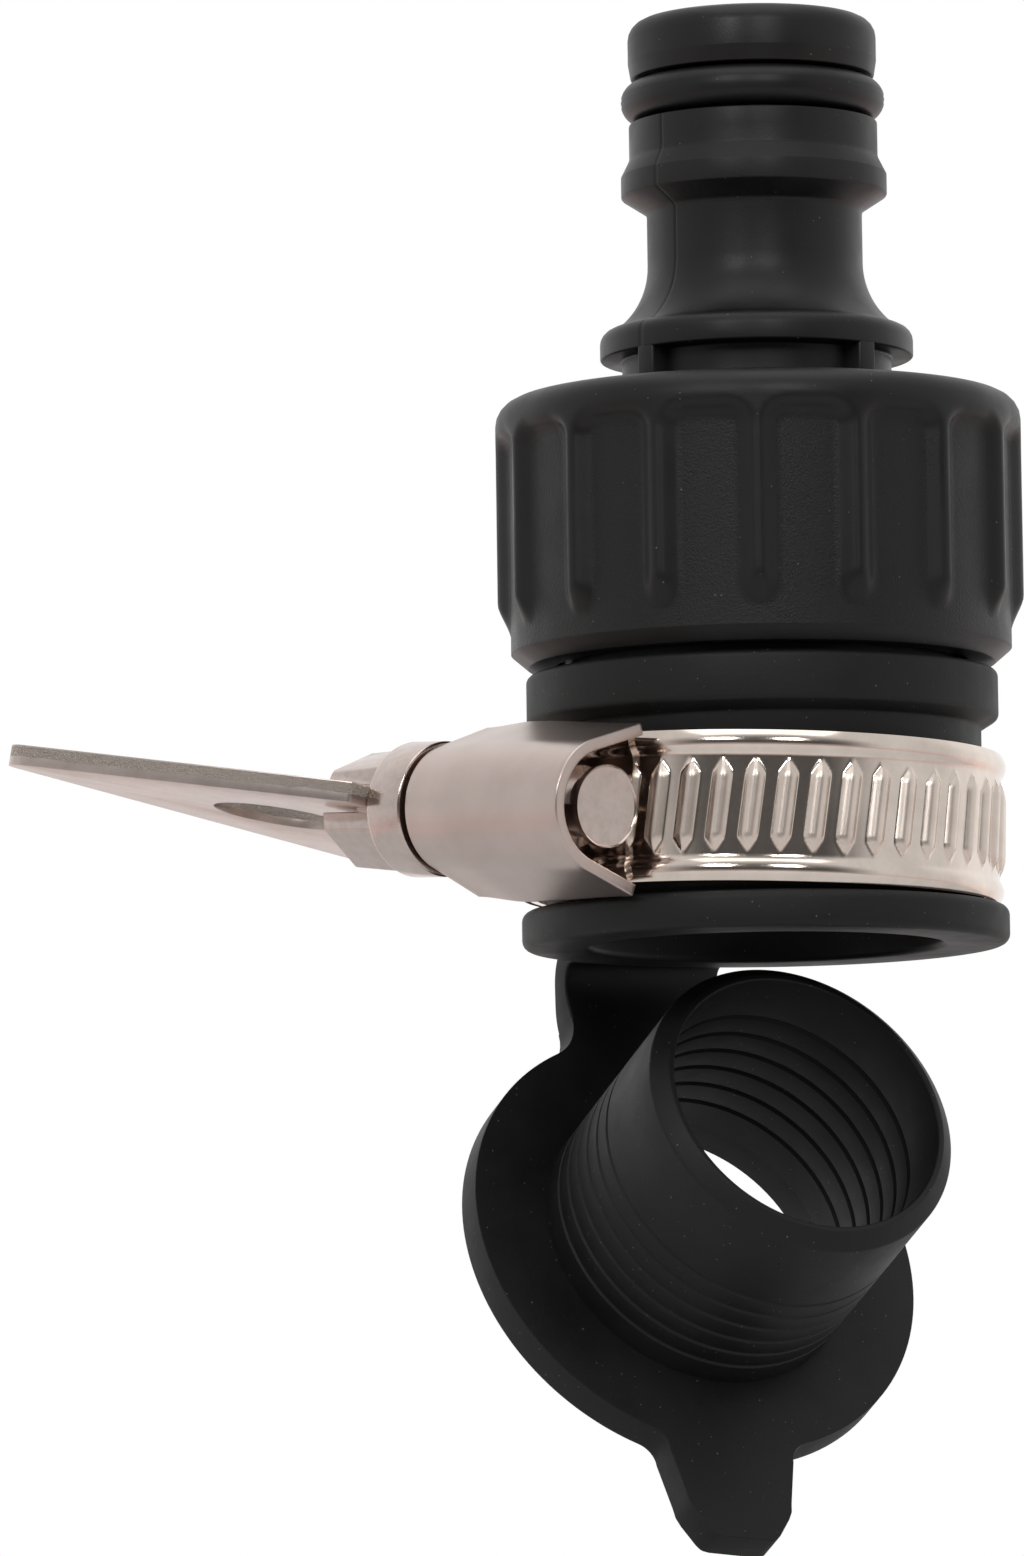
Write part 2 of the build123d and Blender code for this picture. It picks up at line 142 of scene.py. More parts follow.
# Rubber sleeve, its strap and the reducer
socket_radius = 11.2 * mm
sleeve_height = 17.45 * mm
mouth_flange_radius = 15.5 * mm
mouth_flange_thickness = 2.4 * mm
mouth_flange_round = 0.6 * mm
waist_radius = 13.9 * mm
collar_radius = 15.02 * mm
collar_bottom = 14.4 * mm
collar_slope = 0.7 * mm
collar_round = 0.45 * mm
strap_azimuth = 117.6
reducer_open = 62.1
hinge_reach = 20.0 * mm
hinge_drop = 0.8 * mm
strap_width = 11.2 * mm
strap_shift = 1.0 * mm
stub_end = 16.9 * mm
strap_thickness = 1.6 * mm
strap_fillet = 3.0 * mm
strap_round = 0.45 * mm
strap_sink = 1.0 * mm
strap_overlap = 0.9 * mm
strap_clearance = 0.02 * mm
strap_bend = 4.9 * mm
bend_inset = 2.2 * mm
bend_outset = 2.0 * mm
bend_handle = 1.7 * mm
reducer_flange_radius = 15.45 * mm
reducer_flange_thickness = 2.2 * mm
reducer_edge = 0.5 * mm
reducer_sleeve_radius = 10.5 * mm
reducer_bore = 9.15 * mm
reducer_length = 16.9 * mm
reducer_lip = 0.9 * mm
reducer_lip_wall = 0.4 * mm
ring_line_count = 6
ring_line_half = 0.16 * mm
inner_line_half = 1.5 * ring_line_half
outer_line_start = 1.9 * mm
outer_line_pitch = 1.5 * mm
inner_line_start = 2.5 * mm
inner_line_pitch = 2.0 * mm
ring_line_depth = 0.16 * mm
tab_root_half = 4.35 * mm
tab_shoulder_half = 3.7 * mm
tab_shoulder_place = 4.3 * mm
tab_end_half = 2.2 * mm
tab_length = 6.6 * mm
tab_fillet = 1.6 * mm
tab_shoulder_round = 2.2 * mm
tab_tip_round = 1.0 * mm
tab_turn = -6.0
fillet_pieces = 8
rim_pieces = 60

# Worm-drive clamp
clamp_height = 7.62 * mm
clamp_tilt = 1.7
clamp_azimuth = 223.4
band_inner = 14.5 * mm
band_thickness = 0.5 * mm
band_outer = band_inner + band_thickness
band_width = 9.45 * mm
band_rim_width = 1.5 * mm
band_rim_rise = 0.3 * mm
tail_thickness = 0.4 * mm
tail_reach = 74.0
ridge_pitch = 2.05 * mm
ridge_width = 1.3 * mm
ridge_length = 5.7 * mm
ridge_rise = 0.36 * mm
ridge_point = 0.9 * mm
ridge_slant = 6.5
ridge_start = 18.9
ridge_end_power = 0.6
ridge_crowding = 0.72
band_cells = 46
band_last_ridge = 30
tail_cells = 11
tail_last_ridge = 7
tail_ridge_share = 0.6
cover_lead = 6.0
cover_fade = 5.0
cell_columns = 18
cell_rows = 44
screw_lift = 3.3 * mm
screw_pitch = 2.8
screw_pivot = 2.2 * mm
sheet = 0.8 * mm
housing_tip = 4.6 * mm
housing_shoulder = 5.0 * mm
housing_end = 9.55 * mm
housing_round = 4.1 * mm
housing_arch = 4.35 * mm
housing_tip_half = 5.45 * mm
housing_half_width = 5.75 * mm
housing_end_half = 5.4 * mm
housing_foot_lift = 1.1 * mm
housing_edge = 0.12 * mm
shank_radius = 2.6 * mm
shank_root = 1.9 * mm
shank_tip = 4.5 * mm
shank_tip_round = 0.2 * mm
shank_slope = 0.5 * mm
worm_start = -3.6 * mm
worm_root_flat = 0.3 * mm
worm_flank = 0.4 * mm
worm_crest_flat = 0.6 * mm
worm_turns = 5
screw_collar_start = 9.65 * mm
screw_collar_radius = 4.3 * mm
screw_collar_round = 0.35 * mm
head_start = 13.0 * mm
head_across_flats = 7.0 * mm
head_length = 4.8 * mm
key_thickness = 1.3 * mm
key_slot_gap = 0.3 * mm
collar_relief = 0.25 * mm
head_chamfer = 0.9 * mm
head_chamfer_share = 0.14
head_round = 0.18 * mm
slot_past = 1.0 * mm
key_turn = 7.0
key_lean = 1.6
key_root_half = 5.6 * mm
key_end_half = 16.85 * mm
key_length = 21.8 * mm
key_corner = 1.2 * mm
key_root_corner = 0.4 * mm
key_edge = 0.16 * mm
key_hole_radius = 4.5 * mm
key_hole_place = 12.4 * mm

# Places of the tilted clamp, its screw, and the open reducer
clamp_place = (
    Matrix.Translation((0, 0, clamp_height))
    @ Matrix.Rotation(radians(clamp_tilt), 4, "Y")
    @ Matrix.Rotation(radians(clamp_azimuth), 4, "Z")
)
screw_place = (
    clamp_place
    @ Matrix.Translation((band_outer + screw_lift, -screw_pivot, 0))
    @ Matrix.Rotation(pi / 2 - radians(screw_pitch), 4, "X")
    @ Matrix.Translation((0, 0, -screw_pivot))
)
key_place = (
    screw_place
    @ Matrix.Rotation(radians(key_turn), 4, "Z")
    @ Matrix.Translation((0, 0, head_start))
    @ Matrix.Rotation(-radians(key_lean), 4, "X")
)
strap_place = Matrix.Rotation(radians(strap_azimuth), 4, "Z")
hinge = Matrix.Translation((hinge_reach, 0, -hinge_drop))
reducer_place = strap_place @ hinge @ Matrix.Rotation(-radians(reducer_open), 4, "Y") @ hinge.inverted()


# Modelling helpers
def ease(value):
    """Smooth step from 0 to 1."""
    value = min(max(value, 0.0), 1.0)
    return value * value * (3 - 2 * value)


def rounded(corners):
    """Closed outline through corners (x, y, radius, cuts in the run before the corner)."""
    outline = []
    for number, (x, y, radius, cuts) in enumerate(corners):
        here = Vector((x, y))
        before = Vector(corners[number - 1][:2]) - here
        after = Vector(corners[(number + 1) % len(corners)][:2]) - here
        arc = [here]
        if radius:
            half = before.angle(after) / 2
            start = here + before.normalized() * radius / tan(half)
            centre = here + (before.normalized() + after.normalized()).normalized() * radius / sin(half)
            turn = pi - 2 * half
            if before.x * after.y - before.y * after.x > 0:
                turn = -turn
            pieces = max(2, ceil(abs(turn) / radians(arc_step)))
            spoke = start - centre
            arc = [
                centre + Matrix.Rotation(turn * part / pieces, 2) @ spoke
                for part in range(pieces + 1)
            ]
        if cuts and outline:
            last = outline[-1]
            outline += [last.lerp(arc[0], cut / (cuts + 1)) for cut in range(1, cuts + 1)]
        outline += arc
    return outline


def arc_points(centre, radius, start, end, pieces):
    """Corners with no rounding along an arc, from one angle to another in degrees."""
    points = []
    for part in range(pieces + 1):
        angle = radians(start + (end - start) * part / pieces)
        points.append((centre[0] + radius * cos(angle), centre[1] + radius * sin(angle), 0, 0))
    return points


def draw_line(name, points):
    """Extrude one vertex along points, and stay in edit mode."""
    bpy.ops.object.select_all(action="DESELECT")
    bpy.ops.mesh.primitive_plane_add(size=mm, location=points[0])
    piece = bpy.context.object
    piece.name = name
    bpy.ops.object.transform_apply(location=True, rotation=False, scale=False)
    bpy.ops.object.mode_set(mode="EDIT")
    bpy.ops.mesh.select_all(action="SELECT")
    bpy.ops.mesh.merge(type="CENTER")
    for last, point in zip(points, points[1:]):
        step = Vector(point) - Vector(last)
        bpy.ops.mesh.extrude_vertices_move(TRANSFORM_OT_translate={"value": step})
    return piece


def tidy_mesh():
    """In edit mode: join what lies together and turn every face outwards."""
    bpy.ops.mesh.select_all(action="SELECT")
    bpy.ops.mesh.remove_doubles(threshold=weld)
    bpy.ops.mesh.normals_make_consistent(inside=False)
    bpy.ops.object.mode_set(mode="OBJECT")


def lathe(name, outline, steps, closed=True):
    """Spin an outline in the XZ plane once round the Z axis."""
    points = [(point[0], 0, point[1]) for point in outline]
    if closed:
        points.append(points[0])
    piece = draw_line(name, points)
    bpy.ops.mesh.select_all(action="SELECT")
    bpy.ops.mesh.spin(steps=steps, angle=2 * pi, center=(0, 0, 0), axis=(0, 0, 1))
    tidy_mesh()
    return piece


def plate(name, outline, holes, thickness):
    """A flat plate from z = 0 up, with round holes (x, y, radius)."""
    points = [(point[0], point[1], 0) for point in outline]
    piece = draw_line(name, points + points[:1])
    bpy.ops.mesh.select_all(action="SELECT")
    bpy.ops.mesh.remove_doubles(threshold=weld)
    for x, y, radius in holes:
        bpy.ops.mesh.primitive_circle_add(vertices=96, radius=radius, location=(x, y, 0))
    bpy.ops.mesh.select_all(action="SELECT")
    bpy.ops.mesh.fill(use_beauty=True)
    bpy.ops.mesh.select_all(action="SELECT")
    bpy.ops.mesh.extrude_region_move(TRANSFORM_OT_translate={"value": (0, 0, thickness)})
    tidy_mesh()
    return piece


def pick(piece):
    """Select one piece alone and make it the active one."""
    bpy.ops.object.select_all(action="DESELECT")
    bpy.context.view_layer.objects.active = piece
    piece.select_set(True)


def flat_grid(name, columns, rows, size):
    """A flat grid of square outline, for a rule to shape."""
    bpy.ops.object.select_all(action="DESELECT")
    bpy.ops.mesh.primitive_grid_add(x_subdivisions=columns, y_subdivisions=rows, size=size)
    piece = bpy.context.object
    piece.name = name
    return piece


def modify(piece, kind, **settings):
    """Add a modifier with its settings and apply it."""
    pick(piece)
    modifier = piece.modifiers.new(kind.title(), kind)
    for name, value in settings.items():
        setattr(modifier, name, value)
    bpy.ops.object.modifier_apply(modifier=modifier.name)


def soften(piece, width, segments=3, angle=30):
    """Round off the edges that are sharper than an angle."""
    modify(piece, "BEVEL", width=width, segments=segments, limit_method="ANGLE",
           angle_limit=radians(angle), harden_normals=False)


def put(piece, place):
    """Move a finished mesh to its place, with the object left at the origin."""
    pick(piece)
    piece.matrix_world = place
    bpy.ops.object.transform_apply(location=True, rotation=True, scale=True)


def merge_pieces(pieces, name):
    """Join several meshes into the first one."""
    bpy.ops.object.select_all(action="DESELECT")
    for piece in pieces:
        piece.select_set(True)
    bpy.context.view_layer.objects.active = pieces[0]
    bpy.ops.object.join()
    pieces[0].name = name
    return pieces[0]


def reshape(piece, rule):
    """Move every vertex to where a rule puts it."""
    for vertex in piece.data.vertices:
        vertex.co = rule(vertex.co)
    piece.data.update()


def finish_piece(piece, material, slot, body, *nodes, smooth=35):
    """Shade, paint and attach a finished piece, and hide the frame's nodes that it stands for."""
    pick(piece)
    bpy.ops.object.shade_smooth_by_angle(angle=radians(smooth))
    piece.data.materials.clear()
    piece.data.materials.append(material)
    if body:
        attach(piece, body)
    if nodes:
        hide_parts(*nodes)


# Materials
def linear(code):
    """Linear colour of an sRGB hex value."""
    channels = [int(code[place:place + 2], 16) / 255 for place in (1, 3, 5)]
    return [c / 12.92 if c <= 0.04045 else ((c + 0.055) / 1.055) ** 2.4 for c in channels] + [1.0]


def add_node(tree, kind, settings, links=None):
    """Add a shader node, set its properties and sockets, and link its inputs."""
    node = tree.nodes.new("ShaderNode" + kind)
    for name, value in settings.items():
        if isinstance(name, int) or name in node.inputs:
            node.inputs[name].default_value = value
        else:
            setattr(node, name, value)
    for name, source in (links or {}).items():
        tree.links.new(source, node.inputs[name])
    return node


def new_material(name):
    """An empty material: its node tree, its shader and its object coordinates."""
    material = bpy.data.materials.new(name)
    material.use_nodes = True
    tree = material.node_tree
    tree.nodes.clear()
    output = tree.nodes.new("ShaderNodeOutputMaterial")
    shader = tree.nodes.new("ShaderNodeBsdfPrincipled")
    tree.links.new(shader.outputs["BSDF"], output.inputs["Surface"])
    place = tree.nodes.new("ShaderNodeTexCoord").outputs["Object"]
    return material, tree, shader, place


def per_mm(size):
    """Texture scale that gives a pattern this size in millimetres."""
    return 1 / (size * mm)


# Patterns of the plastics and rubbers, sizes in millimetres
patch_size = 5.0
dust_cell = 0.4
dust_speck = 0.055
dust_colour = "#5e5a56"
polymer_ior = 1.4

# How near the pocket floor the spark-eroded grain is full, where it ends, and its share elsewhere
eroded_full = 0.05 * mm
eroded_end = 0.12 * mm
eroded_rest = 0.15

# Share of a ridge's height over which its plate turns dull
ridge_strain = (0.02, 0.3)

# Pattern of the key's sheared edge, torn over one part of its thickness: shares, and sizes in millimetres
torn_ripple = 0.3
torn_level = 0.58
torn_rim = 0.94
torn_colour = "#b3a9a0"
crumb_size = 0.35
crumb_relief = 0.35


def dusted(tree, place, share):
    """Mask of fine dust specks, with the share of the cells that hold one."""
    cells = add_node(tree, "TexVoronoi", {"Scale": per_mm(dust_cell), "Randomness": 1.0},
                     {"Vector": place})
    chance = add_node(tree, "SeparateColor", {}, {"Color": cells.outputs["Color"]})
    chosen = add_node(tree, "MapRange",
                      {"From Min": share, "From Max": 0.0, "To Max": dust_speck / dust_cell},
                      {"Value": chance.outputs["Red"]})
    return add_node(tree, "Math", {"operation": "LESS_THAN"},
                    {0: cells.outputs["Distance"], 1: chosen.outputs["Result"]}).outputs["Value"]


def black_moulding(name, colour, pale, grain, relief, rough, dust_share, eroded=False):
    """Black polymer off a textured mould: its grain, faint patches and settled dust."""
    material, tree, shader, place = new_material(name)
    patches = add_node(tree, "TexNoise",
                       {"Scale": per_mm(patch_size), "Detail": 5.0, "Roughness": 0.6}, {"Vector": place})
    specks = dusted(tree, place, dust_share)
    blotch = add_node(tree, "MapRange", {"From Min": 0.35, "From Max": 0.7},
                      {"Value": patches.outputs["Fac"]})
    body = add_node(tree, "Mix", {"data_type": "RGBA", 6: linear(colour), 7: linear(pale)},
                    {0: blotch.outputs["Result"]})
    dusty = add_node(tree, "Mix", {"data_type": "RGBA", 7: linear(dust_colour)},
                     {0: specks, 6: body.outputs[2]})
    tree.links.new(dusty.outputs[2], shader.inputs["Base Color"])
    uneven = add_node(tree, "MapRange",
                      {"From Min": 0.3, "From Max": 0.7, "To Min": rough[0], "To Max": rough[1]},
                      {"Value": patches.outputs["Fac"]})
    tree.links.new(uneven.outputs["Result"], shader.inputs["Roughness"])
    spark = add_node(tree, "TexNoise",
                     {"Scale": per_mm(grain), "Detail": 3.0, "Roughness": 0.6}, {"Vector": place})
    bump = add_node(tree, "Bump", {"Strength": 1.0, "Distance": relief * mm},
                    {"Height": spark.outputs["Fac"]})
    if eroded:
        level = add_node(tree, "VectorMath", {"operation": "MULTIPLY", 1: (1, 1, 0)},
                         {0: place})
        radius = add_node(tree, "VectorMath", {"operation": "LENGTH"},
                          {0: level.outputs["Vector"]})
        away = add_node(tree, "Math", {"operation": "SUBTRACT", 1: pocket_floor},
                        {0: radius.outputs["Value"]})
        apart = add_node(tree, "Math", {"operation": "ABSOLUTE"}, {0: away.outputs["Value"]})
        pressed = add_node(tree, "MapRange",
                           {"From Min": eroded_full, "From Max": eroded_end, "To Min": 1.0,
                            "To Max": eroded_rest},
                           {"Value": apart.outputs["Value"]})
        tree.links.new(pressed.outputs["Result"], bump.inputs["Strength"])
    tree.links.new(bump.outputs["Normal"], shader.inputs["Normal"])
    shader.inputs["IOR"].default_value = polymer_ior
    return material


def plated_steel(name, colour, shade, cloud, grain, relief, rough, sheared=False, pressed=0.0):
    """Nickel-plated steel: metal with faint cloudy staining and a fine surface grain."""
    material, tree, shader, place = new_material(name)
    clouds = add_node(tree, "TexNoise",
                      {"Scale": per_mm(cloud), "Detail": 6.0, "Roughness": 0.65}, {"Vector": place})
    tint = add_node(tree, "MapRange", {"From Min": 0.4, "From Max": 0.7},
                    {"Value": clouds.outputs["Fac"]})
    body = add_node(tree, "Mix", {"data_type": "RGBA", 6: linear(colour), 7: linear(shade)},
                    {0: tint.outputs["Result"]})
    grit = add_node(tree, "TexNoise",
                    {"Scale": per_mm(grain), "Detail": 4.0, "Roughness": 0.6}, {"Vector": place})
    dull = add_node(tree, "MapRange", {"To Min": rough[0], "To Max": rough[1]},
                    {"Value": grit.outputs["Fac"]})
    bump = add_node(tree, "Bump", {"Strength": 1.0, "Distance": relief * mm},
                    {"Height": grit.outputs["Fac"]})
    colour_out, rough_out, normal_out = body.outputs[2], dull.outputs["Result"], bump.outputs["Normal"]
    if sheared:
        depth = add_node(tree, "Attribute", {"attribute_name": "cut_depth"})
        ragged = add_node(tree, "Math", {"operation": "MULTIPLY_ADD", 1: torn_ripple},
                          {0: clouds.outputs["Fac"], 2: depth.outputs["Fac"]})
        torn = add_node(tree, "Math", {"operation": "GREATER_THAN", 1: torn_level},
                        {0: ragged.outputs["Value"]})
        rim = add_node(tree, "Math", {"operation": "LESS_THAN", 1: torn_rim},
                       {0: depth.outputs["Fac"]})
        broken = add_node(tree, "Math", {"operation": "MULTIPLY"},
                          {0: torn.outputs[0], 1: rim.outputs[0]})
        darker = add_node(tree, "Mix", {"data_type": "RGBA", 7: linear(torn_colour)},
                          {0: broken.outputs[0], 6: colour_out})
        crumbs = add_node(tree, "TexNoise",
                          {"Scale": per_mm(crumb_size), "Detail": 5.0, "Roughness": 0.75},
                          {"Vector": place})
        lift = add_node(tree, "Math", {"operation": "MULTIPLY"},
                        {0: crumbs.outputs["Fac"], 1: broken.outputs[0]})
        crags = add_node(tree, "Bump", {"Strength": 1.0, "Distance": crumb_relief * mm},
                         {"Height": lift.outputs[0], "Normal": normal_out})
        colour_out, normal_out = darker.outputs[2], crags.outputs["Normal"]
    if pressed:
        ridge = add_node(tree, "Attribute", {"attribute_name": "ridge_share"})
        strained = add_node(tree, "MapRange",
                            {"From Min": ridge_strain[0], "From Max": ridge_strain[1], "To Max": pressed},
                            {"Value": ridge.outputs["Fac"]})
        satin = add_node(tree, "Math", {"operation": "ADD"},
                         {0: rough_out, 1: strained.outputs["Result"]})
        rough_out = satin.outputs["Value"]
    tree.links.new(colour_out, shader.inputs["Base Color"])
    tree.links.new(rough_out, shader.inputs["Roughness"])
    tree.links.new(normal_out, shader.inputs["Normal"])
    shader.inputs["Metallic"].default_value = 1.0
    return material


# Polypropylene moulded against polished steel, with spark-eroded pocket floors that sparkle
connector_plastic = black_moulding("moulded_polypropylene", "#0e0e0e", "#131313", grain=0.14, relief=0.05,
                                   rough=(0.34, 0.5), dust_share=0.14, eroded=True)
# Insert of the same polymer off a polished core, so a little glossier
insert_plastic = black_moulding("polished_polypropylene", "#101010", "#151515", grain=0.3, relief=0.004,
                                rough=(0.3, 0.38), dust_share=0.03)
# Moulded natural rubber with a bloom that makes it matt and slightly uneven
sleeve_rubber = black_moulding("bloomed_rubber", "#0a0a0a", "#101010", grain=0.3, relief=0.012,
                               rough=(0.48, 0.62), dust_share=0.4)
# Nitrile rubber ring, smooth off its mould
ring_rubber = black_moulding("nitrile_rubber", "#0b0b0b", "#0f0f0f", grain=0.4, relief=0.004,
                             rough=(0.38, 0.46), dust_share=0.15)
# Rolled strip with a bright nickel plate, duller where its ridges are pressed up
band_steel = plated_steel("bright_nickel_strip", "#ebded3", "#ddcfc4", cloud=3.0, grain=0.3, relief=0.001,
                          rough=(0.1, 0.16), pressed=0.22)
# Pressed sheet with a satin nickel plate, warm in tone
housing_steel = plated_steel("satin_nickel_sheet", "#cdbdb6", "#c5b5ae", cloud=4.0, grain=0.12,
                             relief=0.004, rough=(0.26, 0.36))
# Turned steel under the same plate, mottled where it was sawn off
screw_steel = plated_steel("turned_nickel_steel", "#d2c3bc", "#c6b7b0", cloud=0.7, grain=0.12,
                           relief=0.003, rough=(0.14, 0.24))
# Punched plate, plated in a barrel: soft faces and a sheared edge, half smooth and half torn
key_steel = plated_steel("barrel_nickel_plate", "#d0c2bb", "#c2b3ac", cloud=1.6, grain=0.18,
                         relief=0.006, rough=(0.24, 0.36), sheared=True)

# Connector: one turned moulding whose grip pockets are pressed in afterwards
sweep_step = skirt_top_radius - neck_radius
sweep_rise = sweep_top - sweep_bottom
sweep_radius = (sweep_step**2 + sweep_rise**2) / (2 * sweep_step)
sweep_turn = degrees(atan2(sweep_rise, sweep_radius - sweep_step))
plug_collar_bottom = neck_top + plug_collar_slope
plug_collar_top = plug_collar_bottom + plug_collar_length
groove_top = groove_bottom + groove_width

connector_outline = rounded([
    (nut_bore, nut_bottom, soft_edge, 0),
    (nut_foot_radius, nut_bottom, soft_edge, 0),
    (nut_band_radius, nut_bottom + nut_foot_chamfer, 2 * soft_edge, 0),
    (nut_band_radius, nut_band_top, soft_edge, 1),
    (nut_radius, nut_slope_top, soft_edge, 1),
    (nut_radius, nut_top, nut_shoulder, grip_rows),
    (core_radius, nut_top, 3 * soft_edge, 0),
    (core_radius, skirt_bottom, soft_edge, 1),
    (skirt_radius, skirt_bottom, soft_edge, 0),
    (skirt_radius, sweep_bottom, sweep_corner, 0),
    *arc_points((neck_radius + sweep_radius, sweep_top), sweep_radius, 180 + sweep_turn, 180, sweep_pieces),
    (neck_radius, neck_top, 3 * soft_edge, 0),
    (plug_collar_radius, plug_collar_bottom, soft_edge, 0),
    (plug_collar_radius, plug_collar_top, soft_edge, 0),
    (plug_radius, plug_collar_top + plug_collar_fall, 4 * soft_edge, 0),
    (plug_radius, groove_bottom, soft_edge, 1),
    (groove_root, groove_bottom, soft_edge, 0),
    (groove_root, groove_top, soft_edge, 0),
    (plug_radius - plug_lip_depth, groove_top, soft_edge, 0),
    (plug_radius, groove_top + plug_lip_slope, 2 * soft_edge, 0),
    (plug_radius, plug_top, plug_nose_round, 0),
    (water_way, plug_top, 3 * soft_edge, 0),
    (water_way, roof_underside, 0, 3),
    (nut_bore, roof_underside, 0, 0),
])


def press_pocket(point):
    """Push the nut's side in between its ribs, and press the mould's parting line into the neck."""
    radius = hypot(point.x, point.y)
    if skirt_bottom < point.z < groove_bottom and radius > water_way + neck_wall_least:
        off_line = abs((degrees(atan2(point.y, point.x)) - parting_angle + 90) % 180 - 90)
        scale = 1 - parting_depth / radius * max(0.0, 1 - off_line / parting_spread)
        return Vector((point.x * scale, point.y * scale, point.z))
    if radius <= pocket_floor or point.z > pocket_top:
        return point
    turn = atan2(point.y, point.x) / (2 * pi / rib_count)
    side = abs(turn - round(turn)) * 2 * pi / rib_count * nut_radius - rib_crest / 2
    end = (pocket_top - point.z) * rib_flank / pocket_end_slope
    inside = min(side, end)
    if side < pocket_corner and end < pocket_corner:
        inside = pocket_corner - hypot(pocket_corner - side, pocket_corner - end)
    if point.z < rib_end:
        inside = hypot(max(side, 0.0), (rib_end - point.z) * rib_flank / rib_end_slope)
    ramp = min(1.0, max(0.0, inside / rib_flank))
    press = pocket_ease * ease(ramp) + (1 - pocket_ease) * ramp
    scale = (radius - (radius - pocket_floor) * press) / radius
    return Vector((point.x * scale, point.y * scale, point.z))


tap_connector = lathe("tap_connector", connector_outline, rib_count * steps_per_rib)
reshape(tap_connector, press_pocket)
put(tap_connector, Matrix.Rotation(radians(moulding_turn), 4, "Z"))
webs = [tap_connector]
web_length = skirt_radius - water_way - web_inset
web_height = skirt_bottom - nut_top + 2 * web_sink
for number in range(web_count):
    bpy.ops.object.select_all(action="DESELECT")
    web_middle = ((water_way + web_inset + skirt_radius) / 2, 0, (nut_top + skirt_bottom) / 2)
    bpy.ops.mesh.primitive_cube_add(size=1, location=web_middle)
    web = bpy.context.object
    web.scale = (web_length, web_thickness, web_height)
    bpy.ops.object.transform_apply(location=True, rotation=True, scale=True)
    soften(web, web_round)
    put(web, Matrix.Rotation(radians(web_angle + number * 360 / web_count), 4, "Z"))
    webs.append(web)
tap_connector = merge_pieces(webs, "connector_moulding")
finish_piece(tap_connector, connector_plastic, "moulded_plastic", "connector", "tap_connector", smooth=40)

# O-ring with the fine flash line that its two-part mould leaves on the outside
ring_centre = o_ring_radius - o_ring_section / 2
ring_height = groove_bottom + groove_width / 2
ring_outline = []
for part in range(o_ring_points):
    angle = 2 * pi * part / o_ring_points
    reach = o_ring_section / 2
    if part == 0:
        reach -= o_ring_flash / 4
    if part in (1, o_ring_points - 1):
        reach -= o_ring_flash
    ring_outline.append((ring_centre + reach * cos(angle), ring_height + reach * sin(angle)))
nose_ring = lathe("nose_ring", ring_outline, steps=192)
finish_piece(nose_ring, ring_rubber, "seal_rubber", "connector", "nose_o_ring")

# Sealing washer
washer = lathe("flat_washer", rounded([
    (washer_inner, insert_top, soft_edge, 0),
    (washer_outer, insert_top, soft_edge, 0),
    (washer_outer, roof_underside, soft_edge, 0),
    (washer_inner, roof_underside, soft_edge, 0),
]), steps=128)
finish_piece(washer, ring_rubber, "seal_rubber", "washer", "sealing_washer")

# Threaded insert: a flanged tube with its pipe thread
thread_root = thread_crest - thread_depth
insert_tube = lathe("insert_tube", rounded([
    (insert_bore, insert_bottom, 2 * soft_edge, 0),
    (insert_flange, insert_bottom, soft_edge, 0),
    (insert_flange, insert_flange_top, soft_edge, 0),
    (thread_root + soft_edge, insert_flange_top, 0, 0),
    (thread_root + soft_edge, insert_top - thread_depth, 0, 0),
    (thread_root - 2 * soft_edge, insert_top, 2 * soft_edge, 0),
    (insert_bore, insert_top, 3 * soft_edge, 0),
]), steps=160)
thread_turns = int((insert_top - insert_flange_top - thread_depth) / thread_pitch)
thread_start = insert_flange_top + thread_lead
crest_flat = thread_pitch / 8
crest_middle = thread_start + thread_pitch / 2
tooth = [
    (thread_root, 0, thread_start),
    (thread_root, 0, thread_start + crest_flat),
    (thread_crest - crest_flat / 4, 0, crest_middle - crest_flat / 2),
    (thread_crest, 0, crest_middle),
    (thread_crest, 0, crest_middle + crest_flat / 2),
    (thread_crest - crest_flat / 4, 0, crest_middle + crest_flat),
    (thread_root, 0, thread_start + thread_pitch),
]
male_thread = draw_line("male_thread", tooth)
bpy.ops.object.mode_set(mode="OBJECT")
modify(male_thread, "SCREW", screw_offset=thread_pitch, iterations=thread_turns - 1, steps=128,
       render_steps=128, use_merge_vertices=True, merge_threshold=weld)
threaded_insert = merge_pieces([insert_tube, male_thread], "insert_moulding")
finish_piece(threaded_insert, insert_plastic, "insert_plastic", "body", "threaded_insert")

# Rubber sleeve with its mouth flange, waist and collar
rubber_body = lathe("sleeve_moulding", rounded([
    (socket_radius, 0, 3 * soft_edge, 0),
    (mouth_flange_radius, 0, mouth_flange_round, 0),
    (mouth_flange_radius, mouth_flange_thickness, mouth_flange_round, 0),
    (waist_radius, mouth_flange_thickness, 3 * soft_edge, 0),
    (waist_radius, collar_bottom - collar_slope, 2 * soft_edge, 0),
    (collar_radius, collar_bottom, 3 * soft_edge, 0),
    (collar_radius, sleeve_height, collar_round, 0),
    (thread_crest + soft_edge, sleeve_height, soft_edge, 0),
    (thread_crest + soft_edge, insert_flange_top, 0, 0),
    (insert_flange, insert_flange_top, 0, 0),
    (insert_flange, insert_bottom, 0, 0),
    (socket_radius, insert_bottom, 0, 0),
]), steps=256)
finish_piece(rubber_body, sleeve_rubber, "sleeve_rubber", "body", "rubber_body")


def ring_line(radius, place, half, depth):
    """Corners of a fine moulded line round the reducer's sleeve."""
    return [
        (radius, place - half, soft_edge / 3, 0),
        (radius - depth, place, soft_edge / 3, 0),
        (radius, place + half, soft_edge / 3, 0),
    ]


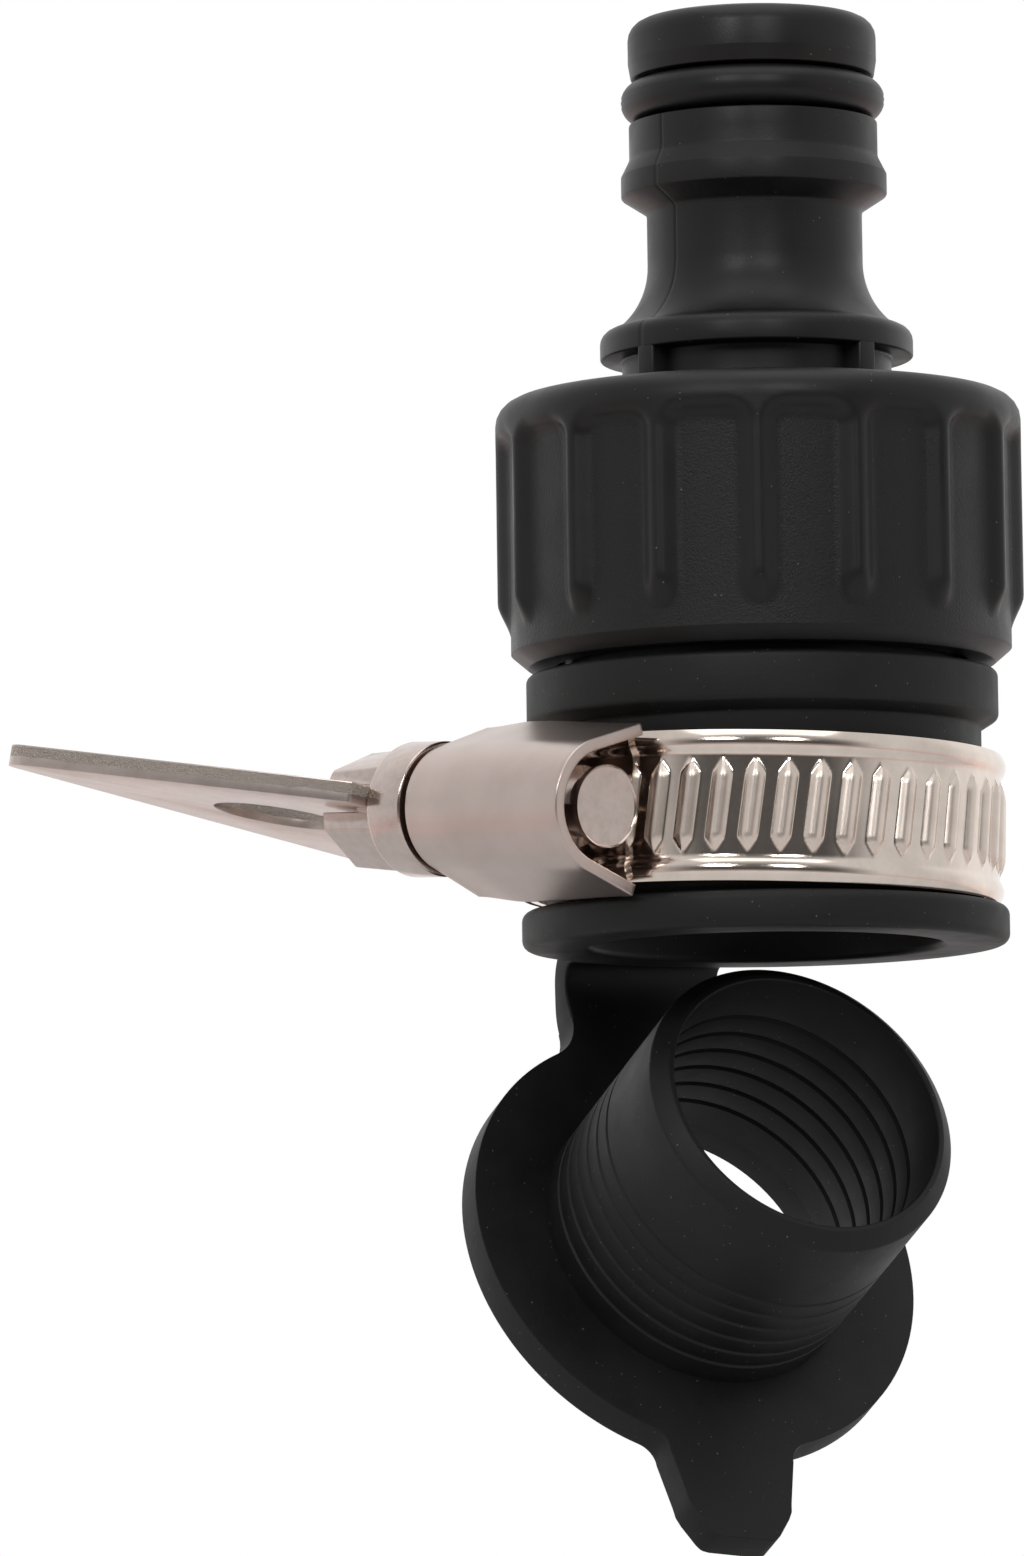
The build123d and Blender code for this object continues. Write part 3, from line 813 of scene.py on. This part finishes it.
# Reducer: a round flange with a pull tab, and a sleeve with fine ring lines inside and outside
sleeve_corners = [
    (reducer_bore, -reducer_flange_thickness / 2, 0, 0),
    (reducer_sleeve_radius, -reducer_flange_thickness / 2, 0, 0),
]
for number in range(ring_line_count):
    place = outer_line_start + outer_line_pitch * number
    sleeve_corners += ring_line(reducer_sleeve_radius, place, ring_line_half, ring_line_depth)
sleeve_corners += [
    (reducer_sleeve_radius, reducer_length - reducer_lip, 2 * soft_edge, 0),
    (reducer_bore + reducer_lip_wall, reducer_length, soft_edge, 0),
    (reducer_bore, reducer_length, soft_edge, 0),
]
for number in reversed(range(ring_line_count)):
    place = inner_line_start + inner_line_pitch * number
    sleeve_corners += ring_line(reducer_bore, place, -inner_line_half, -ring_line_depth)
reducer_sleeve = lathe("reducer_sleeve", rounded(sleeve_corners), steps=192)


def fillet_place(radius, fillet, half):
    """Centre of a fillet between a round flange and a lug's straight side."""
    away = half + fillet
    return ((radius + fillet) ** 2 - away**2) ** 0.5, away


def lug_outline(turn, right, left, fillet, end_points):
    """Outline of a lug on the round flange, from its right side round to its left."""
    sides = []
    for half in (right, left):
        centre_x, centre_y = fillet_place(reducer_flange_radius, fillet, half)
        start = atan2(centre_y, centre_x) + pi
        sweep = 3 * pi / 2 - start
        angles = [start + sweep * part / fillet_pieces for part in range(fillet_pieces + 1)]
        centre = Vector((centre_x, centre_y))
        sides.append([centre + Vector((fillet * cos(angle), fillet * sin(angle))) for angle in angles])
    right_side = [Vector((point.x, -point.y)) for point in sides[0]]
    points = right_side + end_points + sides[1][::-1]
    return [Matrix.Rotation(radians(turn), 2) @ point for point in points]


tab_tip = reducer_flange_radius + tab_length
tab_shoulder = reducer_flange_radius + tab_shoulder_place
tab_corners = rounded([
    (0, -tab_shoulder_half, 0, 0),
    (tab_shoulder, -tab_shoulder_half, tab_shoulder_round, 0),
    (tab_tip, -tab_end_half, tab_tip_round, 0),
    (tab_tip, tab_end_half, tab_tip_round, 0),
    (tab_shoulder, tab_shoulder_half, tab_shoulder_round, 0),
    (0, tab_shoulder_half, 0, 0),
])[1:-1]
strap_right = strap_width / 2 + strap_shift
strap_left = strap_width / 2 - strap_shift
stub_corners = [Vector((stub_end, -strap_right)), Vector((stub_end, strap_left))]
strap_lug = lug_outline(0, strap_right, strap_left, strap_fillet, stub_corners)
tab_lug = lug_outline(180 + tab_turn, tab_root_half, tab_root_half, tab_fillet, tab_corners)


def rim_between(first, last):
    """Points on the flange's rim between two points of it, counterclockwise."""
    start = atan2(first.y, first.x) % (2 * pi)
    finish = atan2(last.y, last.x) % (2 * pi)
    angles = [start + (finish - start) * part / rim_pieces for part in range(1, rim_pieces)]
    return [reducer_flange_radius * Vector((cos(angle), sin(angle))) for angle in angles]


flange_points = strap_lug + rim_between(strap_lug[-1], tab_lug[0])
flange_points += tab_lug + rim_between(tab_lug[-1], strap_lug[0])
flange_plate = plate("flange_plate", flange_points, [(0, 0, reducer_bore)], reducer_flange_thickness)
soften(flange_plate, reducer_edge, 5)
put(flange_plate, Matrix.Translation((0, 0, -reducer_flange_thickness)))
reducer = merge_pieces([flange_plate, reducer_sleeve], "reducer_moulding")
put(reducer, reducer_place)
finish_piece(reducer, sleeve_rubber, "sleeve_rubber", "reducer", "reducer")

# Strap: from inside the sleeve's flange, round its bend, into the reducer's flange
root_point = Vector((mouth_flange_radius - strap_sink, 0, mouth_flange_thickness / 2))
bend_from = Vector((hinge_reach - bend_inset, 0, mouth_flange_thickness / 2))
hinge_point = Vector((hinge_reach, 0, -hinge_drop))
strap_line = Vector((-cos(radians(reducer_open)), 0, -sin(radians(reducer_open))))
bend_to = hinge_point + strap_line * bend_outset
strap_end = hinge_point + strap_line * (hinge_reach - stub_end + strap_overlap)
straight_in = (bend_from - root_point).length
straight_out = (strap_end - bend_to).length
strap_run = straight_in + strap_bend + straight_out


def strap_centre(run):
    """Point of the strap's centre line and its direction, a run from its root."""
    if run <= straight_in:
        return root_point + Vector((run, 0, 0)), Vector((1, 0, 0))
    if run >= straight_in + strap_bend:
        return bend_to + strap_line * (run - straight_in - strap_bend), strap_line
    part = (run - straight_in) / strap_bend
    a, b = bend_from, bend_from + Vector((bend_handle, 0, 0))
    c, d = bend_to - strap_line * bend_handle, bend_to
    rest = 1 - part
    point = a * rest**3 + b * 3 * rest**2 * part + c * 3 * rest * part**2 + d * part**3
    heading = (b - a) * rest**2 + (c - b) * 2 * rest * part + (d - c) * part**2
    return point, heading.normalized()


def strap_edge(run, half):
    """Distance of the strap's edge from the hinge's middle, with a fillet at its root."""
    centre_x, centre_y = fillet_place(mouth_flange_radius, strap_fillet, half)
    along = root_point.x + run
    if along >= centre_x:
        return half
    return centre_y - max(strap_fillet**2 - (along - centre_x) ** 2, 0) ** 0.5


def lay_strap(point):
    """Bend the flat strap along its centre line."""
    run = (point.x + 1) / 2 * strap_run
    centre_point, heading = strap_centre(run)
    low = -strap_edge(run, strap_right)
    high = strap_edge(run, strap_left)
    sink = strap_clearance if run > straight_in + strap_bend else 0
    across = low + (high - low) * (point.y + 1) / 2 * (1 - sink / strap_width)
    inwards = Vector((-heading.z, 0, heading.x))
    return centre_point + inwards * sink + Vector((0, across + sink / 2, 0))


def thicken(point):
    """Let the strap's outer face run out to the outer face of the reducer's flange."""
    outer = Vector((-strap_line.z, 0, strap_line.x))
    offset = point - hinge_point
    away = offset.dot(outer)
    if away <= 0:
        return point
    share = ease(offset.dot(strap_line) / (hinge_reach - stub_end))
    growth = reducer_flange_thickness - 2 * hinge_drop - 2 * strap_clearance
    return point + outer * (share * growth * away / hinge_drop)


strap = flat_grid("strap_moulding", columns=64, rows=12, size=2)
reshape(strap, lay_strap)
modify(strap, "SOLIDIFY", thickness=strap_thickness, offset=0)
reshape(strap, thicken)
soften(strap, strap_round, 4, 50)
put(strap, strap_place)
# The bend opens over a longer way than the curve itself, which keeps its step low at the joint's limit
finish_piece(strap, sleeve_rubber, "sleeve_rubber", None)
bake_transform(strap)


# Clamp band: flat strips of pressed cells that are wrapped round the sleeve
def ridge_height(across, along):
    """Height of the pressed ridge above the band: a rounded bar with pointed ends."""
    past = max(0.0, abs(along) - ridge_length / 2 + ridge_point) / ridge_point
    half = ridge_width / 2 * (1 - past)
    if half <= 0 or abs(across) >= half:
        return 0.0
    return ridge_rise * (1 - (across / half) ** 2) * (1 - past) ** ridge_end_power


def crowd(across):
    """Bring the mesh lines of a cell closer together at the ridge's edges."""
    part = abs(across) / (ridge_pitch / 2)
    if part < ridge_crowding:
        place = ridge_width / 2 * sin(part / ridge_crowding * pi / 2)
    else:
        gap = (ridge_pitch - ridge_width) / 2
        place = ridge_width / 2 + gap * (part - ridge_crowding) / (1 - ridge_crowding)
    return place if across > 0 else -place


def band_strip(name, start, cells, last_ridge, base_radius, thickness, rise_share):
    """A strip of pressed cells wrapped round the clamp's axis, from a start angle on."""
    strip = flat_grid(name, cell_columns, cell_rows, size=1)
    strip.scale = (ridge_pitch, band_width, 1)
    bpy.ops.object.transform_apply(location=False, rotation=False, scale=True)
    modify(strip, "ARRAY", count=cells, relative_offset_displace=(1, 0, 0), use_merge_vertices=True,
           merge_threshold=5 * weld)
    slant = tan(radians(ridge_slant))

    def in_cell(point):
        """Number of the point's cell, and the point's crowded place across it."""
        cell = round(point.x / ridge_pitch)
        return cell, crowd(point.x - cell * ridge_pitch)

    def wrap(point):
        """Lift the point by its ridge or rim, and carry it round the clamp's axis."""
        along = point.y
        cell, offset = in_cell(point)
        height = rise_share * ridge_height(offset, along) if cell <= last_ridge else 0.0
        edge = band_width / 2 - abs(along)
        lean = ease(edge / (2 * band_rim_width))
        angle = radians(start) + (cell * ridge_pitch + offset + slant * along * lean) / band_outer
        if edge < band_rim_width:
            under_tail = degrees(angle) - 360 + tail_reach + cover_lead
            covered = ease(under_tail / cover_fade) if rise_share == 1 else 0
            height = band_rim_rise * (1 - covered) * sin(pi * edge / band_rim_width)
        radius = base_radius + height
        return Vector((radius * cos(angle), radius * sin(angle), along))

    share = strip.data.attributes.new("ridge_share", "FLOAT", "POINT")
    for number, vertex in enumerate(strip.data.vertices):
        cell, offset = in_cell(vertex.co)
        if cell <= last_ridge:
            share.data[number].value = ridge_height(offset, vertex.co.y) / ridge_rise
    reshape(strip, wrap)
    modify(strip, "SOLIDIFY", thickness=thickness, offset=-1)
    return strip


ridge_step = degrees(ridge_pitch / band_outer)
band = band_strip("band_loop", ridge_start - ridge_step, band_cells, band_last_ridge,
                  band_outer, band_thickness, 1)
tail = band_strip("band_tail", ridge_step / 2 - tail_reach, tail_cells, tail_last_ridge,
                  band_outer + tail_thickness, tail_thickness, tail_ridge_share)
band = merge_pieces([band, tail], "clamp_strip")
put(band, clamp_place)
finish_piece(band, band_steel, "band_steel", "body", "clamp_band", smooth=50)

# Housing: sheet folded round the screw, wide over the band and round at its far end
housing_foot = band_inner + housing_foot_lift - band_outer - screw_lift


def saddle_point(run, arch, half_width):
    """Point of the saddle's outline, run from -1 to 1: straight arms and a round arch."""
    foot = Vector((housing_foot, half_width))
    reach = foot.length
    lean = atan2(foot.y, foot.x) - acos(arch / reach)
    touch = Vector((arch * cos(lean), arch * sin(lean)))
    arm = (foot - touch).length
    total = arm + arch * lean
    here = abs(run) * total
    side = 1 if run >= 0 else -1
    if here <= arch * lean:
        return Vector((arch * cos(here / arch), side * arch * sin(here / arch)))
    point = touch.lerp(foot, (here - arch * lean) / arm)
    return Vector((point.x, side * point.y))


def fold_sheet(point):
    """Wrap the flat sheet over the screw."""
    place = -housing_tip + (point.x + 1) / 2 * (housing_end + housing_tip)
    round_share = ease((place - housing_shoulder) / (housing_end - housing_shoulder))
    wide_share = ease((place + housing_tip) / (housing_shoulder + housing_tip))
    arch = housing_arch + (housing_round - housing_arch) * round_share
    half_width = housing_tip_half + (housing_half_width - housing_tip_half) * wide_share
    half_width += (housing_end_half - housing_half_width) * round_share
    outline = saddle_point(point.y, arch, half_width)
    return Vector((outline.x, outline.y, place))


housing = flat_grid("screw_housing", columns=28, rows=64, size=2)
reshape(housing, fold_sheet)
bpy.ops.object.mode_set(mode="EDIT")
tidy_mesh()
modify(housing, "SOLIDIFY", thickness=sheet, offset=-1, use_even_offset=True)
soften(housing, housing_edge, 3, 50)
put(housing, screw_place)
finish_piece(housing, housing_steel, "housing_steel", "body", "clamp_housing", smooth=40)

# Screw: worm, turned collar and slotted hexagon head
shank = lathe("worm_screw", rounded([
    (0, -shank_tip, 0, 0),
    (shank_radius, -shank_tip, shank_tip_round, 0),
    (shank_radius, -housing_tip, soft_edge, 0),
    (shank_root, -housing_tip + shank_slope, soft_edge, 0),
    (shank_root, screw_collar_start + collar_relief, soft_edge, 0),
    (screw_collar_radius, screw_collar_start + collar_relief, soft_edge, 0),
    (screw_collar_radius, head_start, screw_collar_round, 0),
    (0, head_start, 0, 0),
]), steps=96, closed=False)
worm_rise = worm_start + worm_root_flat
worm_crest = worm_rise + worm_flank
worm_fall = worm_crest + worm_crest_flat
worm_tooth = [
    (shank_root, 0, worm_start),
    (shank_root, 0, worm_rise),
    (shank_radius, 0, worm_crest),
    (shank_radius, 0, worm_fall),
    (shank_root, 0, worm_fall + worm_flank),
    (shank_root, 0, worm_start + ridge_pitch),
]
worm = draw_line("worm_thread", worm_tooth)
bpy.ops.object.mode_set(mode="OBJECT")
modify(worm, "SCREW", screw_offset=ridge_pitch, iterations=worm_turns, steps=64, render_steps=64,
       use_merge_vertices=True, merge_threshold=weld)


head_radius = head_across_flats / 2 / cos(pi / 6)


def round_head(point):
    """Draw the corners of the hexagon in where its end is chamfered."""
    past = max(0.0, point.z - head_start - head_length + head_chamfer) / head_chamfer
    limit = head_radius * (1 - head_chamfer_share * past**2)
    radius = hypot(point.x, point.y)
    if radius <= limit:
        return point
    return Vector((point.x * limit / radius, point.y * limit / radius, point.z))


bpy.ops.object.select_all(action="DESELECT")
bpy.ops.mesh.primitive_cylinder_add(vertices=6, radius=head_radius, depth=head_length,
                                    location=(0, 0, head_start + head_length / 2))
head = bpy.context.object
bpy.ops.object.transform_apply(location=True, rotation=True, scale=True)
bpy.ops.mesh.primitive_cube_add(size=1, location=(0, 0, head_start + (head_length + slot_past) / 2))
slot = bpy.context.object
slot.scale = (3 * head_across_flats, key_thickness + key_slot_gap, head_length + slot_past)
bpy.ops.object.transform_apply(location=True, rotation=True, scale=True)
modify(head, "BOOLEAN", operation="DIFFERENCE", object=slot, solver="EXACT")
bpy.data.objects.remove(slot)
soften(head, head_round, 3)
reshape(head, round_head)
put(head, Matrix.Rotation(radians(key_turn), 4, "Z"))
screw = merge_pieces([shank, worm, head], "worm_screw")
put(screw, screw_place)
finish_piece(screw, screw_steel, "screw_steel", "screw", "clamp_screw")

# Key: fan-shaped plate with a round hole and rounded corners
key_outline = rounded([
    (-key_root_half, 0, key_root_corner, 0),
    (key_root_half, 0, key_root_corner, 0),
    (key_end_half, key_length, key_corner, 0),
    (-key_end_half, key_length, key_corner, 0),
])
key = plate("key_wing", key_outline, [(0, key_hole_place, key_hole_radius)], key_thickness)
soften(key, key_edge, 3)
cut_depth = key.data.attributes.new("cut_depth", "FLOAT", "POINT")
for number, vertex in enumerate(key.data.vertices):
    cut_depth.data[number].value = 1 - vertex.co.z / key_thickness
put(key, key_place @ Matrix.Rotation(pi / 2, 4, "X") @ Matrix.Translation((0, 0, -key_thickness / 2)))
finish_piece(key, key_steel, "key_steel", "screw", "key_plate")

# Floor: a pale disc that keeps the shadow and glows towards the camera alone, so that it ends in white
floor_gap = 6.5 * mm
floor_radius = 150 * mm
floor_glow = 0.45
floor_height = cad_box[0][2] - floor_gap
bpy.ops.object.select_all(action="DESELECT")
bpy.ops.mesh.primitive_circle_add(vertices=128, radius=floor_radius, fill_type="NGON",
                                  location=(0, 0, floor_height))
floor = bpy.context.object
floor.name = "floor"
floor_material, floor_tree, floor_shader, _ = new_material("pale_floor")
floor_shader.inputs["Base Color"].default_value = linear("#f2f2f2")
floor_shader.inputs["Roughness"].default_value = 0.8
floor_shader.inputs["Emission Color"].default_value = linear("#ffffff")
floor_rays = floor_tree.nodes.new("ShaderNodeLightPath")
glow = add_node(floor_tree, "Math", {"operation": "MULTIPLY", 1: floor_glow},
                {0: floor_rays.outputs["Is Camera Ray"]})
floor_tree.links.new(glow.outputs["Value"], floor_shader.inputs["Emission Strength"])
floor.data.materials.append(floor_material)

# World: white to the camera, an even grey room for soft light, and a room for reflections that is
# dark behind the camera, brighter at the sides and warm below
room_light = 0.4
room_front = 0.08
room_side = 0.68
room_back = 0.3
room_below = 0.72
room_colour = "#ffffff"
below_colour = "#f4d0c8"
world = bpy.data.worlds.new("white_studio")
bpy.context.scene.world = world
world.use_nodes = True
sky = world.node_tree
sky.nodes.clear()
rays = sky.nodes.new("ShaderNodeLightPath")
seen = add_node(sky, "Math", {"operation": "MAXIMUM"},
                {0: rays.outputs["Is Camera Ray"], 1: rays.outputs["Is Transmission Ray"]})
direction = sky.nodes.new("ShaderNodeTexCoord").outputs["Generated"]
facing = add_node(sky, "SeparateXYZ", {}, {"Vector": direction})
parts = []
for axis, start, end, least, most in (
    ("Y", -0.9, -0.5, room_front, room_side),
    ("Y", 0.0, 0.7, 0.0, room_back),
    ("Z", 0.0, -0.45, 0.0, room_below),
):
    part = add_node(sky, "MapRange",
                    {"interpolation_type": "SMOOTHSTEP", "From Min": start, "From Max": end,
                     "To Min": least, "To Max": most},
                    {"Value": facing.outputs[axis]})
    parts.append(part.outputs["Result"])
side_part, back_part, below_part = parts
around = add_node(sky, "Math", {"operation": "ADD"}, {0: side_part, 1: back_part})
level = add_node(sky, "Math", {"operation": "MAXIMUM"},
                 {0: around.outputs["Value"], 1: below_part})
warmth = add_node(sky, "Mix",
                  {"data_type": "RGBA", 6: linear(room_colour), 7: linear(below_colour)}, {0: below_part})
room = add_node(sky, "Background", {"Color": linear(room_colour), "Strength": room_light})
glossy_room = add_node(sky, "Background", {},
                       {"Color": warmth.outputs[2], "Strength": level.outputs["Value"]})
backdrop = add_node(sky, "Background", {"Color": linear(room_colour), "Strength": 1.0})
gloss = add_node(sky, "MixShader", {},
                 {0: rays.outputs["Is Glossy Ray"], 1: room.outputs[0], 2: glossy_room.outputs[0]})
mixed = add_node(sky, "MixShader", {},
                 {0: seen.outputs[0], 1: gloss.outputs[0], 2: backdrop.outputs[0]})
add_node(sky, "OutputWorld", {}, {"Surface": mixed.outputs[0]})


def softbox(name, place, width, height, power):
    """A rectangular area light aimed at the middle of the object."""
    light = bpy.data.lights.new(name, "AREA")
    light.shape = "RECTANGLE"
    light.size = width
    light.size_y = height
    light.energy = power
    lamp = bpy.data.objects.new(name, light)
    bpy.context.collection.objects.link(lamp)
    lamp.location = place
    lamp.rotation_euler = (object_middle - Vector(place)).to_track_quat("-Z", "Y").to_euler()


object_middle = Vector((0, 0, 15 * mm))
box_width = 0.14
box_height = 0.2
box_power = 0.85
top_box_size = 0.7
top_box_power = 1.4
softbox("left_box", (-0.25, -0.6, 0.32), box_width, box_height, box_power)
softbox("right_box", (0.13, -0.65, 0.32), box_width, box_height, box_power)
softbox("top_box", (0, -0.15, 0.75), top_box_size, top_box_size, top_box_power)

# Camera: the place, tilt and lens that were fitted to the rims in the photograph
camera_position = (-16.003 * mm, -697.44 * mm, -60.11 * mm)
camera_rise = 5.826
camera_roll = 0.802
camera_lens = 254.88
sensor_height = 36
near_limit = 0.01
rise = radians(camera_rise)
forward = Vector((0, cos(rise), sin(rise)))
level_right = Vector((1, 0, 0))
level_up = level_right.cross(forward)
spin = radians(camera_roll)
right = level_right * cos(spin) - level_up * sin(spin)
up = level_right * sin(spin) + level_up * cos(spin)
camera_data = bpy.data.cameras.new("camera")
camera_data.sensor_fit = "VERTICAL"
camera_data.sensor_height = sensor_height
camera_data.lens = camera_lens
camera_data.clip_start = near_limit
camera = bpy.data.objects.new("camera", camera_data)
bpy.context.collection.objects.link(camera)
camera_turn = Matrix((right, up, -forward)).transposed().to_4x4()
camera_turn.translation = camera_position
camera.matrix_world = camera_turn
bpy.context.scene.camera = camera
bpy.context.scene.view_settings.view_transform = "Standard"
